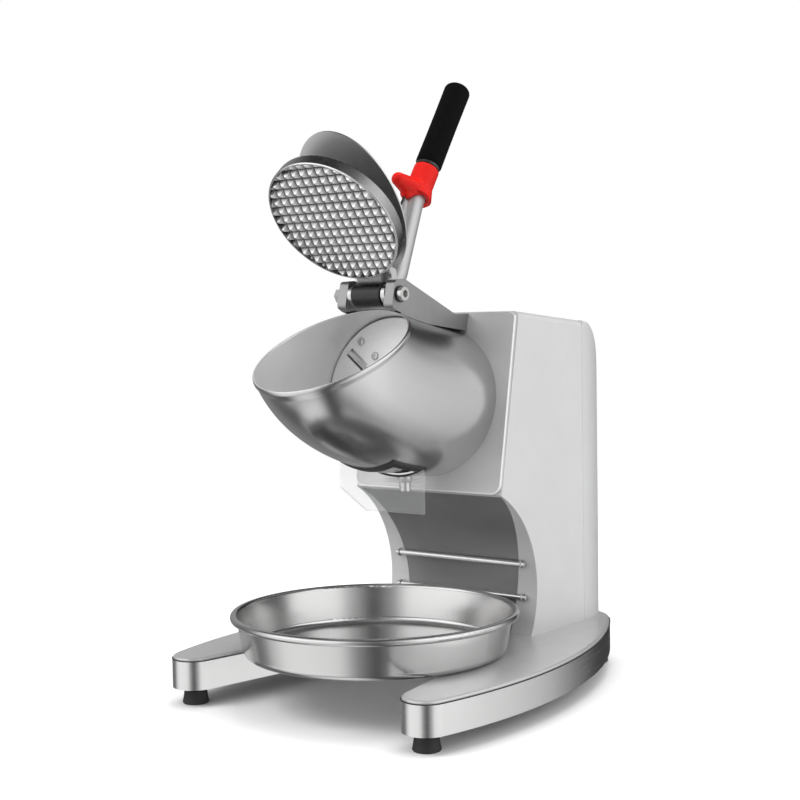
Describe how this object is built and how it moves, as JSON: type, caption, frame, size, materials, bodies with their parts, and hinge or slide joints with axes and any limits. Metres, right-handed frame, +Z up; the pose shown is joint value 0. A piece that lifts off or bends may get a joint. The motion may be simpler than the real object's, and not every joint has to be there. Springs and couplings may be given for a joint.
{
  "type": "ice shaver",
  "caption": "Table-top electric ice shaver: scoop-shaped drum on a silver column, spinning blade disc, lever with waffle presser, clear outlet guard and round lift-out tray on a horseshoe base",
  "frame": {"origin": "on the table, under the middle of the machine's plan", "axes": "+X across the machine, -Y out of its front where the tray stands, +Z up"},
  "size_m": [0.335, 0.4167, 0.5806],
  "materials": {
    "silver_paint": "satin",
    "panel_paint": "satin",
    "recess_paint": "satin",
    "band_steel": "brushed",
    "dark_underside": "matte",
    "rubber": "matte",
    "zinc_screw": "satin",
    "tray_steel": "brushed",
    "drum_steel": "polished",
    "rod_steel": "satin",
    "gasket": "matte",
    "clear_guard": "clear",
    "disc_steel": "satin",
    "blade_steel": "ground",
    "cast_alloy": "as cast",
    "waffle_alloy": "tumbled",
    "lid_steel": "satin",
    "lever_steel": "satin",
    "grip_foam": "matte",
    "red_plastic": "satin",
    "black_plastic": "satin",
    "white_plastic": "satin",
    "motor_iron": "painted",
    "core_steel": "laminated",
    "copper": "enamelled",
    "shaft_steel": "ground",
    "capacitor_can": "satin"
  },
  "bodies": {
    "frame": {"base_casting": "silver_paint", "base_band": "band_steel", "base_floor": "dark_underside", "rubber_feet": "rubber", "foot_screws": "zinc_screw", "column_shell": "silver_paint", "front_panel": "panel_paint", "recess_panel": "recess_paint", "recess_rods": "rod_steel", "rear_cover": "silver_paint", "rear_cover_screws": "zinc_screw", "drum": "drum_steel", "drum_flange": "drum_steel", "drum_screws": "zinc_screw", "outlet_gasket": "gasket", "ice_guard": "clear_guard", "guard_bolt": "zinc_screw", "guard_boss": "drum_steel", "motor_front_bell": "cast_alloy", "motor_rear_bell": "cast_alloy", "motor_housing": "motor_iron", "front_bearing": "shaft_steel", "rear_bearing": "shaft_steel", "stator_core": "core_steel", "stator_windings": "copper", "motor_standoffs": "zinc_screw", "motor_bolts": "zinc_screw", "shaft_seal": "gasket", "run_capacitor": "capacitor_can", "capacitor_clip": "zinc_screw", "terminal_block": "white_plastic", "cord_inlet": "black_plastic", "switch_bezel": "black_plastic", "hinge_bracket": "cast_alloy", "bracket_screws": "zinc_screw", "hinge_bolt": "zinc_screw", "hinge_washers": "zinc_screw", "hinge_nut": "zinc_screw"},
    "rotor": {"blade_disc": "disc_steel", "blades": "blade_steel", "blade_screws": "zinc_screw", "disc_hub": "shaft_steel", "hub_nut": "zinc_screw", "motor_shaft": "shaft_steel", "rotor_core": "core_steel", "cooling_fan": "black_plastic"},
    "lever": {"lever_hub": "cast_alloy", "lever_tube": "lever_steel", "lever_grip": "grip_foam", "trigger_stop": "black_plastic", "presser_disc": "waffle_alloy", "presser_arm": "cast_alloy", "presser_screw": "zinc_screw"},
    "trigger": {"trigger_collar": "red_plastic", "trigger_rod": "black_plastic"},
    "lid": {"lid_sheet": "lid_steel", "lid_arms": "zinc_screw", "lid_rivets": "zinc_screw"},
    "tray": {"tray": "tray_steel"},
    "switch": {"switch_rocker": "black_plastic"}
  },
  "joints": [
    {"name": "rotor_spin", "type": "hinge", "parent": "frame", "child": "rotor", "pos_m": [0, 0.0195, 0.2702], "axis": [0, -0.9834, 0.1814], "continuous": true},
    {"name": "lever_swing", "type": "hinge", "parent": "frame", "child": "lever", "pos_m": [0, -0.0723, 0.3719], "axis": [1, 0, 0], "range_deg": [0, 128.3]},
    {"name": "lid_swing", "type": "hinge", "parent": "frame", "child": "lid", "pos_m": [0, -0.0723, 0.3719], "axis": [1, 0, 0], "range_deg": [0, 92.01]},
    {"name": "trigger_slide", "type": "slide", "parent": "lever", "child": "trigger", "axis": [0, -0.5482, -0.8363], "range_m": [0, 0.004], "stiffness_N_per_m": 400},
    {"name": "tray_slide", "type": "slide", "parent": "frame", "child": "tray", "axis": [0, -1, 0], "range_m": [0, 0.16]},
    {"name": "switch_rock", "type": "hinge", "parent": "frame", "child": "switch", "pos_m": [-0.085, 0.092, 0.298], "axis": [0, 1, 0], "range_deg": [-22, 0]}
  ],
  "couplings": [
    {"joint": "lid_swing", "follows": "lever_swing", "ratio": 0.71707}
  ]
}
